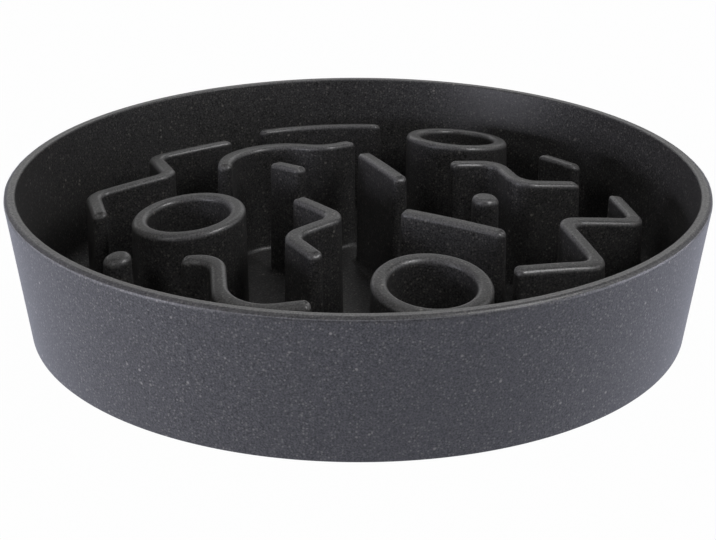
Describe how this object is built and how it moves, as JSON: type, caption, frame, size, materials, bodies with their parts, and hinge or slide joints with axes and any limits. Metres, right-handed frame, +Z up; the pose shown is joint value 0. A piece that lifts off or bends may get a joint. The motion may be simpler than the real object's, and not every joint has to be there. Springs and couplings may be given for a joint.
{
  "type": "slow feeder bowl",
  "caption": "Round pet food bowl with a tapered wall and a maze of zigzag, curved and straight ridges, rings and pegs on its floor that slows eating.",
  "frame": {"origin": "centre of the surface that the bowl stands on, under its feet", "axes": "+Z up out of the bowl's mouth, -Y to the front of the pictured view, +X to its right"},
  "size_m": [0.2506, 0.2506, 0.0526],
  "materials": {
    "composite": "matte moulded bamboo-fibre composite with fine pale fibre specks",
    "antislip": "matte silicone rubber"
  },
  "bodies": {
    "root": {"bowl_wall": "composite", "bowl_floor": "composite", "zigzag_ridge_left": "composite", "zigzag_ridge_right": "composite", "zigzag_ridge_centre": "composite", "curved_ridge_front": "composite", "wave_ridge_back": "composite", "curved_ridge_right": "composite", "short_ridge_left": "composite", "short_ridge_right": "composite", "diagonal_ridge": "composite", "straight_ridge": "composite", "arc_ridge_back": "composite", "ring_left": "composite", "ring_front": "composite", "ring_back": "composite", "peg_left": "composite", "peg_right": "composite", "antislip_foot_1": "antislip", "antislip_foot_2": "antislip", "antislip_foot_3": "antislip", "antislip_foot_4": "antislip"}
  },
  "joints": []
}
